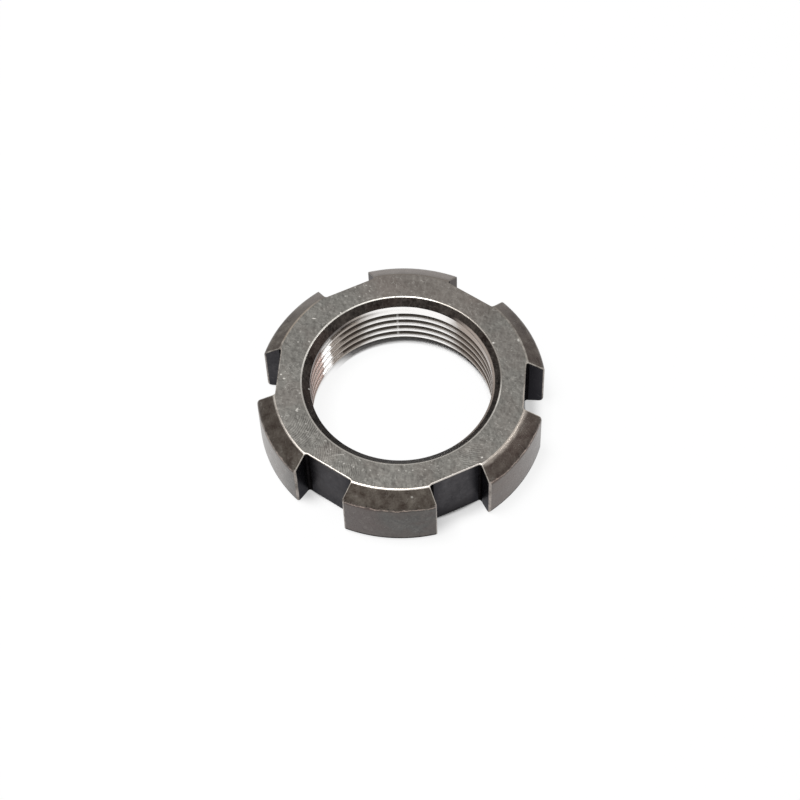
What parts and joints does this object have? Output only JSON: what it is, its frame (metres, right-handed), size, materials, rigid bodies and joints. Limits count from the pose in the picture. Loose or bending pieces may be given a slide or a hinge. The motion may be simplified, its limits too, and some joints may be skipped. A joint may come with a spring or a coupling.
{
  "type": "slotted round lock nut",
  "caption": "Round threaded ring nut with spanner slots round its rim, a conical top edge and a countersunk fine-thread bore.",
  "frame": {"origin": "centre of the bottom face, on the axis of the bore", "axes": "+Z along the bore towards the face with the conical edge; +X through the middle of a slot"},
  "size_m": [0.041, 0.042, 0.0101],
  "materials": {
    "steel": "black oxide over turned steel, worn bright along the edges and in the thread"
  },
  "bodies": {
    "root": {"lock_nut": "steel"}
  },
  "joints": []
}
